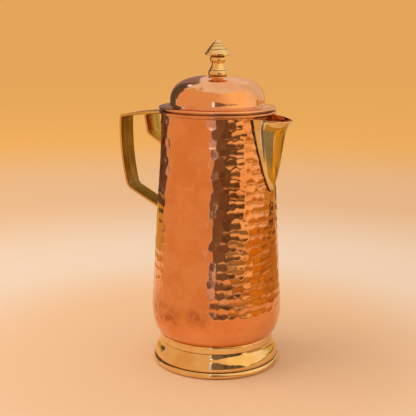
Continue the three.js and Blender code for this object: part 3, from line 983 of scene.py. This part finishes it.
def handle_brass(name, tarnish_and_shade):
    """Drawn brass strap, brushed along its length, tarnished and streaked on its inner face, which also
    carries painted shade, darker on its -Y side and near its lower end.
    """
    look = Finish(name)
    look.feed(look.shader, {"Specular Tint": STRAP_GLARE})
    inner = look.attribute("inner")
    colour = look.mix(look.patches(70, 5, 0.4, 0.7), STRAP_BRASS, STRAP_DEEP)
    colour = look.mix(look.times(look.patches(150, 5, 0.58, 0.78), 0.35), colour, BRASS_STAIN)
    # Inner face: tarnish together with painted shade and painted dark reflection, darker on the -Y side.
    face = look.mix(look.ramp(look.along("Y"), -0.007, 0.006), *tarnish_and_shade)
    colour = look.mix(look.times(inner, look.patches(60, 4, 0.3, 0.7, 0.68, 0.9)), colour, face)
    # Painted shade: the inner face goes nearly black towards the strap's lower end.
    lower_end_shade = look.ramp(look.along("Z"), 0.146, 0.158, 0.7, 0)
    colour = look.mix(look.times(inner, lower_end_shade), colour, STRAP_LOW_SHADE)
    streaks = look.patches(300, 3, 0.42, 0.66, 0, 0.55, stretch=(0.5, 1, 0.05))
    colour = look.mix(look.times(streaks, inner), colour, STREAK)
    brushing = look.noise(160, stretch=(1, 12, 1))
    return look.finished(colour, look.patches(150, 4, 0.3, 0.75, 0.12, 0.22), brushing, 0.00006)


def solder():
    """Tarnished solder, dark and uneven."""
    look = Finish("solder")
    colour = look.mix(look.patches(300, 5, 0.4, 0.7), SOLDER, SOLDER_WORN)
    relief = look.noise(900, 4)
    return look.finished(colour, look.patches(400, 4, 0.3, 0.7, 0.35, 0.55), relief, 0.0002, 0.6)


# ---- The jug ----------------------------------------------

FINISHES = {
    "hammered_copper": hammered_copper(),
    "polished_copper": polished_copper(),
    "bead_copper": bead_copper(),
    "inner_copper": inner_copper(),
    "polished_brass": polished_brass("polished_brass"),
    # The foot's and the knob's crease lines are painted shade.
    "foot_brass": polished_brass("foot_brass", (FOOT_BASE, FOOT_WAIST, FOOT_TOP), 0.42),
    "knob_brass": polished_brass("knob_brass", KNOB_CREASES, 0.3),
    "spout_brass": polished_brass("spout_brass", tarnished=True),
    "handle_brass": handle_brass("handle_brass", HANDLE_TARNISH_AND_SHADE),
    "bracket_brass": handle_brass("bracket_brass", BRACKET_TARNISH_AND_SHADE),
    "solder": solder(),
}


def place(piece, body, finish, slot=None, node=None):
    """Gives a piece its finish and its body, and hides the CAD node that it stands for."""
    piece.data.materials.clear()
    piece.data.materials.append(FINISHES[finish])
    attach(piece, body)
    if node:
        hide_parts(node)


place(make_body(), "vessel", "hammered_copper", node="body_shell")
place(make_base(), "vessel", "inner_copper", node="body_base")
place(make_rim(), "vessel", "bead_copper", slot="polished_copper", node="rim_bead")
place(make_foot(), "vessel", "foot_brass", slot="polished_brass", node="foot_ring")
place(make_spout(), "vessel", "spout_brass", slot="polished_brass", node="spout")
place(make_spout_solder(), "vessel", "solder", slot="polished_brass")
place(make_handle(), "vessel", "handle_brass", node="handle_strap")
place(make_bracket(), "vessel", "bracket_brass", slot="handle_brass", node="handle_bracket")
place(make_lid(), "lid", "polished_copper", node="lid_shell")
place(make_collar(), "lid", "inner_copper", node="lid_collar")
place(make_knob(), "lid", "knob_brass", slot="polished_brass", node="lid_knob")
place(make_screw(), "lid", "polished_brass", node="knob_screw")
place(make_washer(), "lid", "polished_brass", node="knob_washer")

# ---- Stage: floor, surroundings and light -----------------

CAMERA_TURN = math.radians(28)  # camera's bearing round the jug, from the -Y side
CAMERA_DISTANCE = 0.7575  # level distance from the jug's axis
CAMERA_HEIGHT = 0.30675
CAMERA_PITCH = 0.218189  # radians down
CAMERA_YAW = -0.010477
CAMERA_ROLL = 0.003935
CAMERA_LENS = 75.7


def make_camera():
    """The camera, on the -Y side and a little higher than the jug, looking slightly down."""
    ahead = Vector((
        math.sin(CAMERA_YAW) * math.cos(CAMERA_PITCH),
        math.cos(CAMERA_YAW) * math.cos(CAMERA_PITCH),
        -math.sin(CAMERA_PITCH),
    ))
    level = Vector((math.cos(CAMERA_YAW), -math.sin(CAMERA_YAW), 0))
    above = level.cross(ahead)
    right = level * math.cos(CAMERA_ROLL) + above * math.sin(CAMERA_ROLL)
    up = above * math.cos(CAMERA_ROLL) - level * math.sin(CAMERA_ROLL)
    turn = Matrix.Rotation(CAMERA_TURN, 3, "Z")
    camera = bpy.data.cameras.new("camera")
    camera.lens = CAMERA_LENS
    camera.sensor_width = 36
    view = (turn @ Matrix((right, up, -ahead)).transposed()).to_4x4()
    view.translation = turn @ Vector((0, -CAMERA_DISTANCE, CAMERA_HEIGHT)) + Vector((AXIS_X, 0, 0))
    holder = add_object("camera", camera)
    holder.matrix_world = view
    bpy.context.scene.camera = holder


# Tone of the floor at each distance from the frame's origin, in metres.
FLOOR_RINGS = (
    (0.16, (0.80, 0.525, 0.31)),
    (0.34, (0.80, 0.65, 0.51)),
    (0.72, (0.77, 0.50, 0.285)),
    (1.50, (0.88, 0.47, 0.12)),
)
FLOOR_RADIUS = 60000
FLOOR_SIDES = 96


def make_floor():
    """A wide plain floor, whose tone changes softly with the distance from the jug."""
    points, faces = turned_mesh([(0, 0), (FLOOR_RADIUS, 0)], FLOOR_SIDES)
    mesh = bpy.data.meshes.new("floor")
    mesh.from_pydata(to_row(points).tolist(), [], faces[:FLOOR_SIDES])
    look = Finish("floor", metallic=0)
    away = look.distance()
    colour = FLOOR_RINGS[0][1]
    for (start, _), (end, far) in zip(FLOOR_RINGS, FLOOR_RINGS[1:]):
        colour = look.mix(look.ramp(away, start, end), colour, far)
    look.feed(look.shader, {"Base Color": colour, "Roughness": 0.9, "Specular IOR Level": 0.2})
    mesh.materials.append(look.material)
    add_object("floor", mesh)


def around(bearing, distance, height):
    """Point round the jug; bearings in degrees from the camera's direction, positive to its right."""
    heading = CAMERA_TURN - math.pi / 2 + math.radians(bearing)
    return distance * math.cos(heading), distance * math.sin(heading), height


def glow(name, tones, *strips, strength=1):
    """Bright or dark studio cards that are seen only in the jug's polish.

    Each strip is a list of point pairs, with a quad between neighbouring pairs. Tones are one
    colour, or colours spread evenly along each strip.
    """
    tones = np.atleast_2d(tones)
    points, faces, colours = [], [], []
    for strip in strips:
        for i, (low, high) in enumerate(strip):
            if i:
                at = len(points)
                faces.append((at - 2, at, at + 1, at - 1))
            points.extend((low, high))
            share = i / (len(strip) - 1) * (len(tones) - 1)
            tone = [np.interp(share, range(len(tones)), tones[:, k]) for k in range(3)]
            colours.extend([*tone, 1] * 2)
    mesh = bpy.data.meshes.new(name)
    mesh.from_pydata(to_row(points).tolist(), [], faces)
    layer = mesh.color_attributes.new("tone", "FLOAT_COLOR", "POINT")
    layer.data.foreach_set("color", colours)
    material = bpy.data.materials.new(name)
    nodes = Nodes(material)
    nodes.tree.nodes.clear()
    tone = nodes.node("ShaderNodeAttribute", attribute_name="tone").outputs["Color"]
    emission = nodes.node("ShaderNodeEmission", {"Color": tone, "Strength": strength})
    nodes.node("ShaderNodeOutputMaterial", {"Surface": emission.outputs["Emission"]})
    mesh.materials.append(material)
    holder = add_object(name, mesh)
    holder.visible_camera = False
    holder.visible_diffuse = False
    holder.visible_shadow = False
    holder.visible_transmission = False


def standing(*stops):
    """An upright strip through (bearing, distance, low, high) stops."""
    stops = np.array(stops, float)
    bearings = np.unique(np.concatenate([stops[:, 0], np.arange(stops[0, 0], stops[-1, 0], 4)]))
    distance, low, high = (np.interp(bearings, stops[:, 0], stops[:, i]) for i in (1, 2, 3))
    return [(around(b, d, a), around(b, d, c)) for b, d, a, c in zip(bearings, distance, low, high)]


def wall(start, end, distance, low, high):
    """An upright strip of one distance and one height between two bearings."""
    return standing((start, distance, low, high), (end, distance, low, high))


def lying(start, end, near, far, height=1):
    """A flat strip just above the floor between two bearings and two distances."""
    bearings = np.linspace(start, end, max(2, int((end - start) / 4) + 2))
    return [(around(b, near, height), around(b, far, height)) for b in bearings]


COOL = (0.78, 1.0, 1.6)
TAN = (0.80, 0.47, 0.24)
WARM = (0.95, 0.63, 0.36)
BRIGHT = (1.10, 0.81, 0.46)
ROSY = (1.04, 0.84, 0.62)
ROSY_DIM = (0.30, 0.20, 0.17)
PALE = (0.80, 0.70, 0.58)
SANDY = (0.72, 0.48, 0.18)
GOLD = (0.66, 0.40, 0.07)
GOLD_FLOOR = (0.56, 0.28, 0.045)
ORANGE_FLOOR = (0.82, 0.38, 0.02)
BROWN = (0.21, 0.145, 0.11)
DARK = (0.085, 0.055, 0.04)
SMOKE = (0.14, 0.10, 0.09)
OLIVE = (0.15, 0.14, 0.08)
MAT = (0.165, 0.125, 0.07)
MAT_STRIPE = (0.46, 0.41, 0.29)


def make_front_cards():
    """A tan wall at the left, two narrow bright strips, a tall dark object and a striped mat."""
    glow("card_left", TAN, wall(-114, -11, 550, 0, 1100))
    glow("tan_floor_left", TAN, lying(-114, -11, 140, 550))
    glow("strip_front", COOL, wall(-9.8, -8.6, 288, 0, 212), strength=1.3)
    glow("strip_front_top", COOL, wall(-10.6, -8.1, 288, 212, 268), strength=3)
    glow("brown_front", BROWN, standing((-8.6, 290, 0, 268), (3, 290, 0, 268), (9, 380, 0, 266)))
    glow("dark_front", (BROWN, DARK, BROWN, DARK, OLIVE, DARK, DARK, DARK), standing(
        (9, 380, 0, 266), (24, 780, 0, 240), (32, 950, 0, 245), (46, 1550, 0, 225), (53, 1900, 0, 60),
    ))
    glow("mat", MAT, lying(8, 54, 370, 590, 3))
    stripes = (lying(bearing, bearing + 1.8, 370, 590, 4) for bearing in np.arange(10, 53, 4.8))
    glow("mat_stripes", MAT_STRIPE, *stripes)


def make_right_cards():
    """A golden floor, bright further out, before a far warm wall."""
    glow("gold_floor_right", GOLD_FLOOR, lying(20, 58, 250, 500), lying(58, 145, 250, 1080))
    glow("orange_floor_right", ORANGE_FLOOR, lying(60, 84, 330, 560, 2))
    glow("dark_floor_right", DARK, lying(66, 118, 430, 480, 2))
    glow("bright_floor_right", BRIGHT, lying(20, 58, 500, 2600), lying(58, 114, 1080, 2600))
    glow("low_right", DARK, wall(62, 114, 1500, 0, 45))
    glow("card_right", (TAN, WARM, BRIGHT, BRIGHT, ROSY, PALE), wall(-11, 114, 2700, 0, 3900))


def make_back_cards():
    """Pale and gold behind the right side, dark and smoky behind the left, with a small window."""
    glow("pale_back", PALE, wall(114, 150, 900, 190, 1500))
    glow("gold_right", GOLD, wall(104, 114, 1000, 0, 300))
    glow("dark_back_right", DARK, wall(114, 133, 700, 0, 70))
    glow("warm_back_right", SANDY, wall(114, 133, 710, 0, 225))
    glow("gold_back_right", GOLD, wall(133, 150, 890, 0, 190))
    glow("dark_back", DARK, wall(150, 205, 700, 0, 120))
    glow("dark_back_left", (DARK, SMOKE, DARK, OLIVE, DARK, SMOKE, DARK), standing(
        (-155, 700, 0, 1120), (-130, 700, 0, 1030), (-116, 700, 0, 700),
    ))
    glow("rosy_back", ROSY_DIM, standing(
        (-178, 705, 120, 350), (-165, 705, 120, 900), (-155, 705, 120, 1120),
    ))
    glow("smoke_left", (DARK, OLIVE, SMOKE), standing((-130, 690, 250, 700), (-112, 690, 250, 640)))
    glow("dark_left", (SMOKE, DARK), standing((-119, 545, 280, 640), (-110, 545, 280, 600)))
    glow("gold_floor_left", GOLD, lying(-165, -114, 400, 700))
    glow("dark_floor_left", DARK, lying(-155, -116, 580, 700, 2))
    glow("gold_low_left", GOLD, wall(-165, -115, 400, 0, 75))
    glow("strip_back_left", COOL, wall(-115.6, -114.4, 680, 0, 400), strength=1.3)
    glow("window_left", COOL, wall(-146, -134, 690, 860, 990), strength=2)


HORIZON = (0.87, 0.427, 0.12)
OVERHEAD = (1.0, 0.93, 0.86)
SOFTBOX = (1.0, 0.93, 0.85)


def make_world():
    """Soft surroundings: orange at the horizon, warm white overhead."""
    world = bpy.data.worlds.new("studio")
    nodes = Nodes(world)
    where = nodes.node("ShaderNodeTexCoord").outputs["Generated"]
    height = nodes.node("ShaderNodeSeparateXYZ", {"Vector": where}).outputs["Z"]
    ramp = nodes.node("ShaderNodeValToRGB", {"Fac": height})
    for stop, position, colour in zip(ramp.color_ramp.elements, (0.05, 0.6), (HORIZON, OVERHEAD)):
        stop.position = position
        stop.color = (*colour, 1)
    nodes.feed(nodes.tree.nodes["Background"], {"Color": ramp.outputs["Color"], "Strength": 0.9})
    bpy.context.scene.world = world


def make_lights():
    """One large soft light overhead, from the camera's left."""
    light = bpy.data.lights.new("softbox", "AREA")
    light.shape = "RECTANGLE"
    light.size = 1.2
    light.size_y = 0.9
    light.energy = 10
    light.color = SOFTBOX
    holder = add_object("softbox", light)
    holder.visible_glossy = False
    holder.location = (-0.7, -0.5, 1.5)
    aim = Vector((AXIS_X, 0, 0.1)) - holder.location
    holder.rotation_euler = aim.to_track_quat("-Z", "Y").to_euler()


make_camera()
make_floor()
make_front_cards()
make_right_cards()
make_back_cards()
make_world()
make_lights()
bpy.context.scene.view_settings.view_transform = "Standard"
